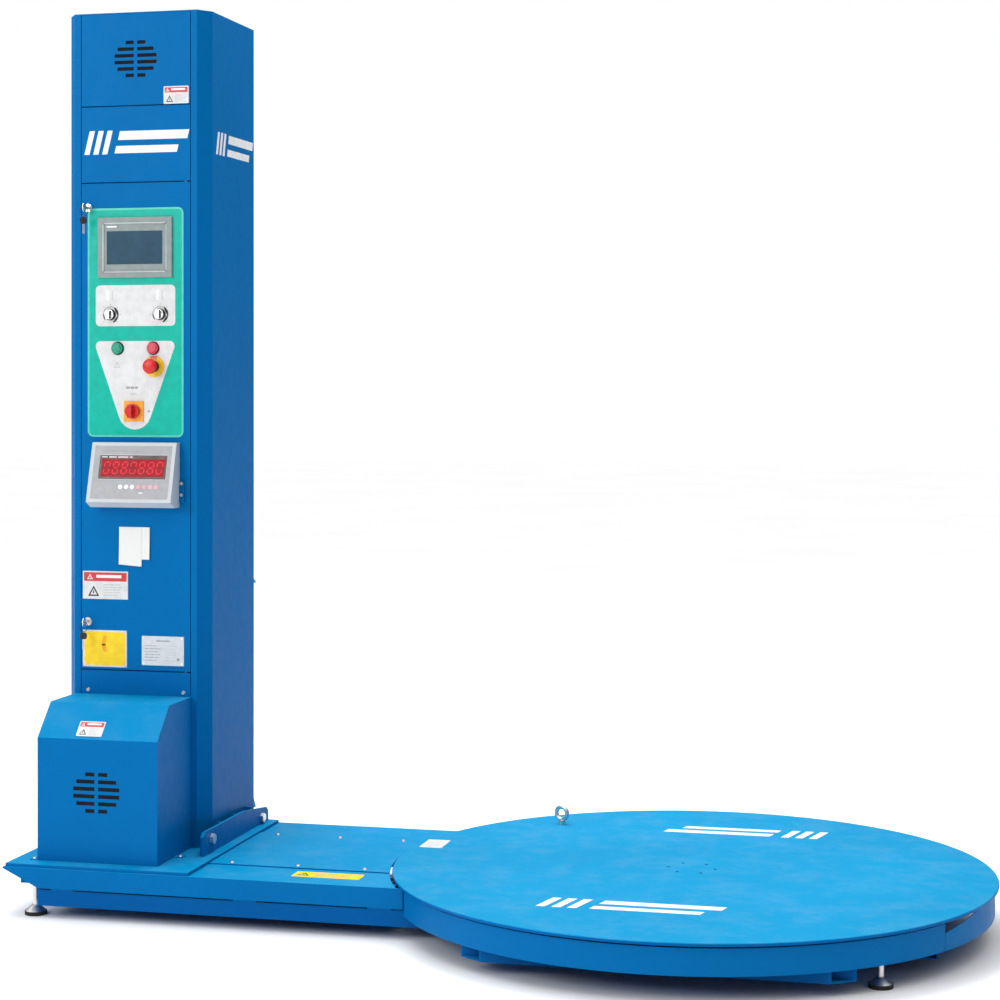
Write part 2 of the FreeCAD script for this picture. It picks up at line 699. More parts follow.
# ---------------------------------------------------------------- chain drive
def belt_hull(first, r1, second, r2, low, high):
    """Return two circles and the tangent strip between them, as a plate."""
    x1, y1 = first
    x2, y2 = second
    run = math.hypot(x2 - x1, y2 - y1)
    heading = math.atan2(y2 - y1, x2 - x1)
    lean = math.acos((r1 - r2) / run)
    corners = []
    for sign in (1, -1):
        angle = heading + sign * lean
        corners.append(((x1 + r1 * math.cos(angle), y1 + r1 * math.sin(angle)),
                        (x2 + r2 * math.cos(angle), y2 + r2 * math.sin(angle))))
    strip = plan([corners[0][0], corners[0][1], corners[1][1], corners[1][0]], low, high)
    pieces = [upright(x1, y1, r1, low, high), upright(x2, y2, r2, low, high), strip]
    return joined(pieces), corners


def chain_loop(first, r1, second, r2, level, tooth, plate, width, step):
    """Return a chain drawn as two loops of link plate joined by pins."""
    half = width / 2
    bands = []
    for low in (level - tooth / 2 - LINK_GAP - plate, level + tooth / 2 + LINK_GAP):
        outer = belt_hull(first, r1 + half, second, r2 + half, low, low + plate)[0]
        inner = belt_hull(first, r1 - half, second, r2 - half, low - 1, low + plate + 1)[0]
        bands.append(outer.cut(inner))
    corners = belt_hull(first, r1, second, r2, level, level + 1)[1]
    low = level - tooth / 2 - LINK_GAP - plate / 2
    high = level + tooth / 2 + LINK_GAP + plate / 2
    pins = []
    for start, finish in corners:
        run = math.hypot(finish[0] - start[0], finish[1] - start[1])
        count = int((run - 120.0) / step)
        for i in range(count + 1):
            share = (60.0 + (run - 120.0) * i / count) / run
            x = start[0] + (finish[0] - start[0]) * share
            y = start[1] + (finish[1] - start[1]) * share
            pins.append(upright(x, y, 2.5, low, high))
    return joined(bands + pins)


def drive_chain():
    """Return the chain between the gearmotor and the turntable."""
    return chain_loop((MAST_X, DRIVE_Y), chain_radius(SMALL_TEETH), (TURN_X, 0),
                      chain_radius(BIG_TEETH), CHAIN_LEVEL, TOOTH_THICKNESS, LINK_PLATE, LINK_WIDTH, 76.2)


def drive_sprocket():
    """Return the small sprocket on its gearmotor shaft."""
    low = CHAIN_LEVEL - TOOTH_THICKNESS / 2
    wheel = toothed(MAST_X, DRIVE_Y, low, chain_radius(SMALL_TEETH) + 4, SMALL_TEETH, 9, TOOTH_THICKNESS)
    hub = upright(MAST_X, DRIVE_Y, 24, low - 10, low + TOOTH_THICKNESS)
    shaft = upright(MAST_X, DRIVE_Y, SHAFT_RADIUS, low - 10, PLATE_TOP + 65)
    return joined([wheel, hub, shaft])


def turntable_gearmotor():
    """Return the gearbox and motor that drive the turntable chain."""
    x = MAST_X
    y = DRIVE_Y
    base = PLATE_TOP
    flange = box(x - 75, x + 75, y - 66, y + 66, base, base + 10)
    gearbox = box(x - 60, x + 60, y - 60, y + 60, base + 10, base + 130)
    motor = upright(x, y, 58, base + 130, base + 310)
    cowl = upright(x, y, 60, base + 310, base + 350)
    terminal = box(x + 50, x + 90, y - 35, y + 35, base + 190, base + 270)
    whole = joined([flange, gearbox, motor, cowl, terminal])
    return whole.cut(upright(x, y, SHAFT_RADIUS + RUN_FIT, base - 1, base + 67))


def vent_slots(x, z, y0, y1, radius):
    """Return the six pairs of slots of a round air vent."""
    slots = []
    pitch = radius * 0.29
    gap = radius * 0.08
    for i in range(6):
        offset = (i - 2.5) * pitch
        wide = math.sqrt(radius ** 2 - (offset * 1.22) ** 2)
        for sign in (-1, 1):
            x0 = x + sign * gap
            x1 = x + sign * wide
            low = z + offset - pitch * 0.27
            slots.append(box(min(x0, x1), max(x0, x1), y0, y1, low, low + pitch * 0.54))
    return slots


def cover_outline(inset):
    """Return the side-view outline of the motor cover, inset by a wall."""
    slope = 0.41 * inset
    front = COVER_FRONT_Y + inset
    low = PLATE_TOP - (1.0 if inset else 0.0)
    back = MAST_FRONT_Y + (1.0 if inset else 0.0)
    return [(front, low), (front, PLATE_TOP + COVER_FRONT_HEIGHT - slope),
            (COVER_RIDGE_Y + slope, PLATE_TOP + COVER_TOP_HEIGHT - inset),
            (back, PLATE_TOP + COVER_TOP_HEIGHT - inset), (back, low)]


def cover_tab_places():
    """Return the two fixing tabs of the motor cover."""
    return [(MAST_X + COVER_RIGHT, 22.0, MAST_FRONT_Y - 115.0),
            (MAST_X + COVER_LEFT, -22.0, COVER_FRONT_Y + 14.0)]


def motor_cover():
    """Return the sheet hood over the gearmotor, with its air vent."""
    left = MAST_X + COVER_LEFT
    right = MAST_X + COVER_RIGHT
    outer = side_outline(cover_outline(0), left, right)
    hood = outer.cut(side_outline(cover_outline(SHEET), left + SHEET, right - SHEET))
    z = PLATE_TOP + 178.0
    for slot in vent_slots(MAST_X - 8, z, COVER_FRONT_Y - 1, COVER_FRONT_Y + SHEET + 1, 64.0):
        hood = hood.cut(slot)
    tabs = []
    for x, wide, y in cover_tab_places():
        tab = box(min(x, x + wide), max(x, x + wide), y - 12, y + 12, PLATE_TOP, PLATE_TOP + SHEET)
        tabs.append(tab.cut(upright(x + wide * 0.6, y, 3.0, PLATE_TOP - 1, PLATE_TOP + SHEET + 1)))
    return joined([hood] + tabs)


def button_screw(x, y, z, direction, shank):
    """Return one dome-headed screw whose head sits on the point given."""
    out = FreeCAD.Vector(*direction)
    base = FreeCAD.Vector(x, y, z)
    head = Part.makeCone(6.0, 4.0, 3.0, base, out)
    stem = Part.makeCylinder(3.0, shank + 0.5, base.add(FreeCAD.Vector(out).multiply(0.5)), out.negative())
    return joined([head, stem])


def panel_screws():
    """Return all the small screws of the covers and front panels."""
    screws = []
    for x, y in tunnel_screw_places():
        screws.append(button_screw(x, y, DECK_TOP + SKIN, (0, 0, 1), SKIN))
    for x, wide, y in cover_tab_places():
        screws.append(button_screw(x + wide * 0.6, y, PLATE_TOP + SHEET, (0, 0, 1), SHEET))
    for x, z in panel_screw_places():
        screws.append(button_screw(x, MAST_FRONT_Y, z, (0, -1, 0), LIP_Y - MAST_FRONT_Y + SKIN))
    return screws


# ----------------------------------------------------------------------- mast
def mast_wall(side):
    """Return one side of the folded mast: lip, flange, chamfer, wall, return."""
    slope = (MAST_HALF - FLANGE_HALF) / CHAMFER_DEPTH
    shift = SKIN * math.sqrt(1 + slope ** 2)
    inner_front = MAST_FRONT_Y + SKIN
    bend_y = MAST_FRONT_Y + (MAST_HALF - SKIN + shift - FLANGE_HALF) / slope
    outline = [(OPENING_HALF, MAST_FRONT_Y), (FLANGE_HALF, MAST_FRONT_Y),
               (MAST_HALF, MAST_FRONT_Y + CHAMFER_DEPTH), (MAST_HALF, MAST_BACK_Y),
               (SLOT_HALF, MAST_BACK_Y), (SLOT_HALF, MAST_BACK_Y - SKIN),
               (MAST_HALF - SKIN, MAST_BACK_Y - SKIN), (MAST_HALF - SKIN, bend_y),
               (FLANGE_HALF + slope * SKIN - shift, inner_front), (OPENING_HALF + SKIN, inner_front),
               (OPENING_HALF + SKIN, LIP_Y + SKIN), (LIP_INNER, LIP_Y + SKIN),
               (LIP_INNER, LIP_Y), (OPENING_HALF, LIP_Y)]
    points = [(MAST_X + side * x, y) for x, y in outline]
    return plan(points, PLATE_TOP, SHELL_TOP)


def panel_screw_places():
    """Return the two screws (x, z) of the lower front panel."""
    z = DOOR_BOTTOM - 56.0
    return [(MAST_X - 134.0, z), (MAST_X + 134.0, z)]


def hinge_block(low, high):
    """Return the block above or below the door that holds a hinge pin."""
    x = MAST_X + HINGE_X
    block = box(x - 9, x + 9, HINGE_Y - 4, LIP_Y + SKIN, low, high)
    return block.cut(upright(x, HINGE_Y, HINGE_PIN, low - 1, high + 1))


def mast_shoe(side):
    """Return the side plate the mast is bolted by, with its spacers."""
    x0 = MAST_X + side * SHOE_IN
    x1 = MAST_X + side * SHOE_OUT
    wall = MAST_X + side * MAST_HALF
    top = PLATE_TOP + 57.0
    outline = [(SHOE_FRONT_Y, PLATE_TOP), (SHOE_BACK_Y, PLATE_TOP), (SHOE_BACK_Y, PLATE_TOP + 24),
               (SHOE_BACK_Y - 14, PLATE_TOP + 36), (SHOE_BACK_Y - 190, top), (SHOE_FRONT_Y + 12, top),
               (SHOE_FRONT_Y, PLATE_TOP + 45)]
    plate = side_outline(outline, min(x0, x1), max(x0, x1))
    for y, z in shoe_bolt_places():
        plate = plate.cut(along(y, z, BOLT_RADIUS + HOLE_PLAY, min(x0, x1) - 1, max(x0, x1) + 1))
    low = min(wall, x0)
    high = max(wall, x0)
    strip = box(low, high, 0, shoe_bolt_places()[1][0] - 20, PLATE_TOP, PLATE_TOP + 8)
    gussets = [box(low, high, y, y + 8, PLATE_TOP, top - 4) for y in (20.0, 130.0, 240.0)]
    return joined([plate, strip] + gussets)


def lower_idler_stand():
    """Return the stand and stub axle of the lower lift sprocket."""
    x = MAST_X
    plate = box(x + 9, x + 15, LIFT_Y - 25, LIFT_Y + 25, PLATE_TOP, LIFT_BOTTOM_Z + 20)
    axle = along(LIFT_Y, LIFT_BOTTOM_Z, ROLLER_PIN, x - 9, x + 12)
    shoulder = along(LIFT_Y, LIFT_BOTTOM_Z, 12, x + 7, x + 10)
    washer = along(LIFT_Y, LIFT_BOTTOM_Z, 12, x - 10, x - 7)
    return joined([plate, axle, shoulder, washer])


def seam_levels():
    """Return the low and high level of each cross strip behind the front."""
    return [(PLATE_TOP, PLATE_TOP + 16), (DOOR_BOTTOM - SEAM - 12, DOOR_BOTTOM + 8),
            (DOOR_TOP - 8, DOOR_TOP + SEAM + 12), (MARK_TOP - 8, MARK_TOP + SEAM + 8),
            (SHELL_TOP - 20, SHELL_TOP)]


def mast_shell():
    """Return the folded mast with its floor, strips, shoes and inlet gland."""
    pieces = [mast_wall(1), mast_wall(-1)]
    half = MAST_HALF - SKIN
    floor = box(MAST_X - half, MAST_X + half, LIP_Y + SKIN, MAST_BACK_Y - SKIN, PLATE_TOP, PLATE_TOP + 4)
    floor = floor.cut(box(MAST_X - 20, MAST_X - 9, LIFT_Y - 35, LIFT_Y + 35, PLATE_TOP - 1, PLATE_TOP + 5))
    pieces.append(floor)
    for low, high in seam_levels():
        pieces.append(box(MAST_X - LIP_INNER, MAST_X + LIP_INNER, LIP_Y, LIP_Y + SKIN, low, high))
    shell = joined(pieces)
    shell = shell.cut(box(MAST_X + 120, MAST_X + OPENING_HALF, LIP_Y - 1, LIP_Y + SKIN + 1,
                          DOOR_BOTTOM, DOOR_TOP))
    shell = shell.cut(box(MAST_X - 144, MAST_X - 120, LIP_Y - 1, LIP_Y + SKIN + 1,
                          DOOR_BOTTOM + 8, DOOR_TOP - 8))
    for x, z in panel_screw_places():
        shell = shell.cut(across(x, z, 3.0, LIP_Y - 1, LIP_Y + SKIN + 1))
    pin_ends = [hinge_block(DOOR_TOP + SEAM, DOOR_TOP + SEAM + 12),
                hinge_block(DOOR_BOTTOM - SEAM - 12, DOOR_BOTTOM - SEAM)]
    gland_y = MAST_BACK_Y - 60.0
    gland_z = PLATE_TOP + 110.0
    gland = along(gland_y, gland_z, 14, MAST_X - MAST_HALF - 22, MAST_X - MAST_HALF)
    whole = joined([shell, mast_shoe(1), mast_shoe(-1), lower_idler_stand(), gland] + pin_ends)
    return whole.cut(along(gland_y, gland_z, 7, MAST_X - MAST_HALF - 23, MAST_X - half + 1))


def mast_cap():
    """Return the flat cap that closes the mast."""
    back = MAST_BACK_Y
    chamfer = MAST_FRONT_Y + CHAMFER_DEPTH
    right = [(FLANGE_HALF, MAST_FRONT_Y), (MAST_HALF, chamfer), (MAST_HALF, back)]
    left = [(-x, y) for x, y in reversed(right)]
    return plan([(MAST_X + x, y) for x, y in right + left], SHELL_TOP, MAST_HEIGHT)


def pan(low, high):
    """Return a front panel: a thin plate with a return down each side."""
    plate = box(MAST_X - PANEL_HALF, MAST_X + PANEL_HALF, MAST_FRONT_Y, MAST_FRONT_Y + SHEET, low, high)
    sides = []
    for side in (-1, 1):
        x0 = MAST_X + side * PANEL_HALF
        x1 = MAST_X + side * (PANEL_HALF - SHEET)
        sides.append(box(min(x0, x1), max(x0, x1), MAST_FRONT_Y, LIP_Y, low, high))
    return joined([plate] + sides)


def vent_panel():
    """Return the top front panel with its round air vent."""
    panel = pan(MARK_TOP + SEAM, SHELL_TOP - 0.5)
    z = MARK_TOP + 125.0
    for slot in vent_slots(MAST_X, z, MAST_FRONT_Y - 1, MAST_FRONT_Y + SHEET + 1, 60.0):
        panel = panel.cut(slot)
    return panel


def mark_panel():
    """Return the blank panel between the door and the vent."""
    return pan(DOOR_TOP + SEAM, MARK_TOP)


def lower_panel():
    """Return the front panel under the door."""
    panel = pan(PLATE_TOP + 4, DOOR_BOTTOM - SEAM)
    for x, z in panel_screw_places():
        panel = panel.cut(across(x, z, 3.0, MAST_FRONT_Y - 1, MAST_FRONT_Y + SHEET + 1))
    return panel


def foot_bolts():
    """Return the four bolts and nuts between mast shoe and cheeks."""
    bolts = []
    for side in (-1, 1):
        face = MAST_X + side * CHEEK_OUT
        for y, z in shoe_bolt_places():
            head = hexagon(face, y, z, (side, 0, 0), BOLT_WIDTH, BOLT_HEAD)
            shank = rod(face + side, y, z, (-side, 0, 0), BOLT_RADIUS, CHEEK_OUT - SHOE_IN + 13)
            nut = hexagon(MAST_X + side * SHOE_IN, y, z, (-side, 0, 0), BOLT_WIDTH, BOLT_HEAD)
            bolts.append(joined([head, shank, nut]))
    return bolts


def door_hinge_pins():
    """Return the upper and lower pin the door swings on."""
    x = MAST_X + HINGE_X
    upper = upright(x, HINGE_Y, HINGE_PIN, DOOR_TOP - 9, DOOR_TOP + SEAM + 12)
    lower = upright(x, HINGE_Y, HINGE_PIN, DOOR_BOTTOM - SEAM - 12, DOOR_BOTTOM + 9)
    return [upper, lower]


# ------------------------------------------------------------ door and controls
def control_places():
    """Return every control on the door as (x, z)."""
    return [(-SELECTOR_X, SELECTOR_Z), (SELECTOR_X, SELECTOR_Z), (-BUTTON_X, BUTTON_Z),
            (BUTTON_X, BUTTON_Z), (STOP_X, STOP_Z), (SWITCH_X, SWITCH_Z)]


def lock_places():
    """Return the two key locks of the door as (x, z)."""
    return [(LOCK_X, UPPER_LOCK_Z), (LOCK_X, LOWER_LOCK_Z)]


def screen_hole(margin, y0, y1):
    """Return the cut-out for the body of the operator panel."""
    half = BEZEL_HALF - 8.0 + margin
    return box(MAST_X - half, MAST_X + half, y0, y1, SCREEN_Z - 74 - margin, SCREEN_Z + 69 + margin)


def control_door():
    """Return the hinged door with its hinge ears and control holes."""
    door = pan(DOOR_BOTTOM, DOOR_TOP)
    y0 = MAST_FRONT_Y - 1
    y1 = MAST_FRONT_Y + SHEET + 1
    for x, z in control_places():
        door = door.cut(across(MAST_X + x, z, NECK_RADIUS + HOLE_PLAY, y0, y1))
    for x, z in lock_places():
        door = door.cut(across(MAST_X + x, z, BARREL_RADIUS + HOLE_PLAY, y0, y1))
    door = door.cut(screen_hole(1.0, y0, y1))
    ears = []
    x = MAST_X + HINGE_X
    for low in (DOOR_TOP - 7, DOOR_BOTTOM + 2):
        ear = box(x - 8, x + 8, MAST_FRONT_Y + 1, HINGE_Y + 6, low, low + 5)
        ears.append(ear)
    door = joined([door] + ears)
    return door.cut(upright(x, HINGE_Y, HINGE_PIN + RUN_FIT, DOOR_BOTTOM - 1, DOOR_TOP + 1))


def control_overlay():
    """Return the printed sheet that covers the control area of the door."""
    sheet = rounded_front(MAST_X - OVERLAY_HALF, MAST_X + OVERLAY_HALF, OVERLAY_BOTTOM, OVERLAY_TOP,
                          OVERLAY_CORNER, OVERLAY_Y, MAST_FRONT_Y)
    y0 = OVERLAY_Y - 1
    y1 = MAST_FRONT_Y + 1
    for x, z in control_places():
        sheet = sheet.cut(across(MAST_X + x, z, NECK_RADIUS + HOLE_PLAY, y0, y1))
    for x, z in lock_places():
        sheet = sheet.cut(across(MAST_X + x, z, LOCK_FLANGE + HOLE_PLAY, y0, y1))
    return sheet.cut(screen_hole(1.0, y0, y1))


def door_locks():
    """Return the two lock barrels."""
    locks = []
    for x, z in lock_places():
        flange = across(MAST_X + x, z, LOCK_FLANGE, MAST_FRONT_Y - 2, MAST_FRONT_Y)
        barrel = across(MAST_X + x, z, BARREL_RADIUS, MAST_FRONT_Y - 1, MAST_FRONT_Y + 20)
        lock = joined([flange, barrel])
        bore = across(MAST_X + x, z, PLUG_RADIUS + RUN_FIT, MAST_FRONT_Y - 3, MAST_FRONT_Y + 21)
        locks.append(lock.cut(bore))
    return locks


def door_key(place):
    """Return one key with the plug and latch cam it turns."""
    x = MAST_X + place[0]
    z = place[1]
    front = MAST_FRONT_Y
    plug = across(x, z, PLUG_RADIUS, front - 2, front + 21)
    shaft = box(x - 1, x + 1, front - 16, front - 1, z - 3.5, z + 3.5)
    bow = rod(x - 1, front - 25, z, (1, 0, 0), 12, 2)
    bow = bow.cut(rod(x - 2, front - 31, z, (1, 0, 0), 2.5, 4))
    cam = box(x - 6, x + 6, front + 20.5, front + 23.5, z - 32, z + 6)
    return joined([plug, shaft, bow, cam])


def hmi_panel():
    """Return the operator panel: bezel in front, housing behind the door."""
    bezel = box(MAST_X - BEZEL_HALF, MAST_X + BEZEL_HALF, OVERLAY_Y - 6, OVERLAY_Y,
                SCREEN_Z - 82, SCREEN_Z + 77)
    window = box(MAST_X - GLASS_HALF, MAST_X + GLASS_HALF, OVERLAY_Y - 7, OVERLAY_Y - 4.5,
                 SCREEN_Z - 47, SCREEN_Z + 41)
    housing = screen_hole(0.0, OVERLAY_Y - 1, MAST_FRONT_Y + 38)
    return joined([bezel.cut(window), housing])


def collar(place, stand_out):
    """Return the collar, neck and contact block of one control."""
    x = MAST_X + place[0]
    z = place[1]
    ring = across(x, z, BEZEL_RADIUS, OVERLAY_Y - stand_out, OVERLAY_Y)
    neck = across(x, z, NECK_RADIUS, OVERLAY_Y - 1, MAST_FRONT_Y + SHEET + 1)
    block = box(x - 14, x + 14, MAST_FRONT_Y + SHEET, MAST_FRONT_Y + 40, z - 14, z + 14)
    whole = joined([ring, neck, block])
    return whole.cut(across(x, z, KNOB_STEM + RUN_FIT, OVERLAY_Y - stand_out - 1, MAST_FRONT_Y + 20))


def switch_collars():
    """Return the collars of the two knobs, two buttons, stop and main switch."""
    places = control_places()
    collars = [collar(places[0], 4.0), collar(places[1], 4.0)]
    for place in places[2:4]:
        body = collar(place, 8.0)
        recess = across(MAST_X + place[0], place[1], CAP_RADIUS + RUN_FIT, OVERLAY_Y - 9, OVERLAY_Y - 1.5)
        collars.append(body.cut(recess))
    plate = across(MAST_X + STOP_X, STOP_Z, STOP_RING, OVERLAY_Y - 3, OVERLAY_Y)
    stem_hole = across(MAST_X + STOP_X, STOP_Z, KNOB_STEM + RUN_FIT, OVERLAY_Y - 4, OVERLAY_Y + 1)
    collars.append(joined([collar(places[4], 12.0), plate.cut(stem_hole)]))
    x = MAST_X + SWITCH_X
    square = box(x - SWITCH_HALF, x + SWITCH_HALF, OVERLAY_Y - 4, OVERLAY_Y,
                 SWITCH_Z - SWITCH_HALF, SWITCH_Z + SWITCH_HALF)
    square = square.cut(across(x, SWITCH_Z, KNOB_STEM + RUN_FIT, OVERLAY_Y - 5, OVERLAY_Y + 1))
    collars.append(joined([collar(places[5], 4.0), square]))
    return collars


def turned(place, profile):
    """Return a turned piece on a front-to-back axis from (radius, y) pairs."""
    x = MAST_X + place[0]
    z = place[1]
    ring = [FreeCAD.Vector(x + r, y, z) for r, y in profile]
    face = Part.Face(Part.makePolygon(ring + [ring[0]]))
    return face.revolve(FreeCAD.Vector(x, 0, z), FreeCAD.Vector(0, 1, 0), 360)


def turning_knob(place, under, radius, depth, grip):
    """Return a round knob with a raised grip bar and its stem."""
    x = MAST_X + place[0]
    z = place[1]
    front = under - depth
    head = turned(place, [(0, front), (radius - 1.5, front), (radius, front + 1.5),
                          (radius, under), (0, under)])
    bar = box(x - grip / 2, x + grip / 2, front - depth, front + 1, z - radius + 2, z + radius - 2)
    stem = across(x, z, KNOB_STEM, under - 1, MAST_FRONT_Y + 18)
    return joined([head, bar, stem])


def push_button(place):
    """Return one push button with its stem."""
    under = OVERLAY_Y - 5.2
    front = OVERLAY_Y - 11.0
    cap = turned(place, [(0, front), (CAP_RADIUS - 2, front), (CAP_RADIUS, front + 1.5),
                         (CAP_RADIUS, under), (0, under)])
    stem = across(MAST_X + place[0], place[1], KNOB_STEM, under - 1, MAST_FRONT_Y + 14)
    return joined([cap, stem])


def emergency_stop():
    """Return the red mushroom head and its stem."""
    top = OVERLAY_Y - 40.0
    under = OVERLAY_Y - 20.0
    head = turned((STOP_X, STOP_Z), [(0, top), (STOP_HEAD - 8, top + 0.8), (STOP_HEAD - 2, top + 4),
                                     (STOP_HEAD, top + 9), (STOP_HEAD - 4, under), (0, under)])
    stem = across(MAST_X + STOP_X, STOP_Z, KNOB_STEM, under - 1, MAST_FRONT_Y + 12)
    return joined([head, stem])


def figure_recess():
    """Return the shallow recess for the figures, laid on the leaning face of the display."""
    recess = box(MAST_X + DISPLAY_LEFT + 26, MAST_X + DISPLAY_RIGHT - 21, -1, 2, FIGURES_LOW, FIGURES_HIGH)
    rise = DISPLAY_TOP - DISPLAY_LOW - DISPLAY_LIP
    lean = math.degrees(math.atan2(DISPLAY_DEPTH - DISPLAY_TOP_DEPTH, rise))
    recess.rotate(FreeCAD.Vector(0, 0, 0), FreeCAD.Vector(1, 0, 0), -lean)
    recess.translate(FreeCAD.Vector(0, MAST_FRONT_Y - DISPLAY_DEPTH, DISPLAY_LOW + DISPLAY_LIP))
    return recess


def weight_indicator():
    """Return the leaning weight display box with its side bracket."""
    back = MAST_FRONT_Y
    front = back - DISPLAY_DEPTH
    right = MAST_X + DISPLAY_RIGHT
    body = side_outline([(back, DISPLAY_LOW), (back, DISPLAY_TOP), (back - DISPLAY_TOP_DEPTH, DISPLAY_TOP),
                         (front, DISPLAY_LOW + DISPLAY_LIP), (front + 30, DISPLAY_LOW)],
                        MAST_X + DISPLAY_LEFT, right)
    ear = box(right, right + 14, back - 5, back, DISPLAY_LOW + 14, DISPLAY_LOW + 68)
    return joined([body.cut(figure_recess()), ear])


def ticket_paper():
    """Return the folded paper ticket stuck on the door."""
    high = DOOR_BOTTOM + 377.0
    return box(MAST_X - 46, MAST_X + 41, MAST_FRONT_Y - 5, MAST_FRONT_Y, high - 104, high)


def door_plates():
    """Return the rating plate and the two safety plates on the door."""
    y0 = MAST_FRONT_Y - 0.8
    y1 = MAST_FRONT_Y
    danger = box(MAST_X - 149, MAST_X - 21, y0, y1, DOOR_BOTTOM + 185, DOOR_BOTTOM + 259)
    caution = box(MAST_X - 149, MAST_X - 24, y0, y1, DOOR_BOTTOM + 6, DOOR_BOTTOM + 103)
    rating = box(MAST_X + 18, MAST_X + 136, y0, y1, DOOR_BOTTOM + 14, DOOR_BOTTOM + 91)
    return [danger, caution, rating]


# ------------------------------------------------------------------ inside gear
def electrical_plate():
    """Return the mounting plate inside the mast."""
    half = MAST_HALF - SKIN
    return box(MAST_X - half, MAST_X + half, 60, 62.5, DOOR_BOTTOM + 60, DOOR_TOP - 60)


def control_gear():
    """Return the drive, supply, controller, contactors and terminal row."""
    x = MAST_X
    z = DOOR_BOTTOM
    drive = box(x - 130, x - 10, 0, 60, z + 850, z + 1090)
    supply = box(x + 20, x + 130, 5, 60, z + 900, z + 1060)
    controller = box(x - 130, x + 130, 10, 60, z + 620, z + 740)
    contactors = [box(x + i * 52 - 128, x + i * 52 - 82, 0, 60, z + 390, z + 475) for i in range(5)]
    terminals = box(x - 140, x + 140, 25, 60, z + 180, z + 235)
    return [drive, supply, controller] + contactors + [terminals]


def stand_up(shape):
    """Turn a piece drawn in plan so that plan X becomes height."""
    shape.rotate(FreeCAD.Vector(0, 0, 0), FreeCAD.Vector(0, 1, 0), -90)
    shape.translate(FreeCAD.Vector(MAST_X, LIFT_Y, 0))
    return shape


def lift_chain():
    """Return the lift chain inside the mast."""
    loop = chain_loop((LIFT_BOTTOM_Z, 0), LIFT_PITCH_RADIUS, (LIFT_TOP_Z, 0), LIFT_PITCH_RADIUS,
                      0, LIFT_TOOTH, 1.5, 9.0, 76.2)
    return stand_up(loop)


def lift_wheel(level):
    """Return a lift sprocket at a level."""
    return stand_up(toothed(level, 0, -LIFT_TOOTH / 2, LIFT_PITCH_RADIUS + 3, 12, 6.5, LIFT_TOOTH))


def lift_sprocket_top():
    """Return the driven lift sprocket with its shaft."""
    wheel = lift_wheel(LIFT_TOP_Z)
    shaft = along(LIFT_Y, LIFT_TOP_Z, 10, MAST_X - 14, MAST_X + 110)
    hub = along(LIFT_Y, LIFT_TOP_Z, 14, MAST_X, MAST_X + 20)
    return joined([wheel, shaft, hub])


def lift_sprocket_bottom():
    """Return the lower lift sprocket."""
    wheel = lift_wheel(LIFT_BOTTOM_Z)
    hub = along(LIFT_Y, LIFT_BOTTOM_Z, 14, MAST_X - 6, MAST_X + 6)
    whole = joined([wheel, hub])
    return whole.cut(along(LIFT_Y, LIFT_BOTTOM_Z, ROLLER_PIN + RUN_FIT, MAST_X - 7, MAST_X + 7))


def lift_gearmotor():
    """Return the gearmotor inside the top of the mast."""
    x = MAST_X
    z = LIFT_TOP_Z
    gearbox = box(x + 50, x + 130, LIFT_Y - 36, LIFT_Y + 36, z - 45, z + 45)
    motor = upright(x + 92, LIFT_Y, 34, z - 195, z - 45)
    mount = box(x + 130, x + MAST_HALF - SKIN, LIFT_Y - 30, LIFT_Y + 30, z - 35, z + 35)
    whole = joined([gearbox, motor, mount])
    return whole.cut(along(LIFT_Y, z, 10 + RUN_FIT, x + 49, x + 112))


# ------------------------------------------------------------------ film carriage
def stretch_places():
    """Return the two pre-stretch roller axes."""
    apart = STRETCH_RADIUS + STRETCH_GAP / 2
    return [(STRETCH_X + apart, STRETCH_Y), (STRETCH_X - apart, STRETCH_Y)]


def carriage_frame():
    """Return the carriage plate with its shelves, axles and chain clamp."""
    low = CARRIAGE_BOTTOM
    high = CARRIAGE_TOP
    t = CARRIAGE_SHEET
    y = CARRIAGE_Y
    x = MAST_X
    back = box(x + CARRIAGE_LEFT, x + CARRIAGE_RIGHT, y, y + t, low, high)
    bottom = plan([(x + CARRIAGE_LEFT, y), (x + CARRIAGE_RIGHT, y), (x + CARRIAGE_RIGHT, y + 36),
                   (x + 95, y + 266), (x + 20, y + 340), (x + CARRIAGE_LEFT, y + 340)], low, low + t)
    top = plan([(x + CARRIAGE_LEFT, y), (x + CARRIAGE_RIGHT, y), (x + CARRIAGE_RIGHT, y + 36),
                (x + 115, y + 205), (x, y + 205), (x + CARRIAGE_LEFT, y + 60)], high - t, high)
    pieces = [back, bottom, top]
    for px, py in stretch_places() + [(IDLER_X, IDLER_Y), (DANCER_X, DANCER_Y)]:
        pieces.append(upright(x + px, py, ROLLER_PIN, low, high))
    pieces.append(upright(x + MANDREL_X, MANDREL_Y, MANDREL_PIN, low, low + t + MANDREL_LENGTH - 40))
    clamp = box(x - 25, x + 25, LIFT_Y + LIFT_PITCH_RADIUS + 8, y, (low + high) / 2 - 40, (low + high) / 2 + 40)
    pieces.append(clamp)
    return joined(pieces)


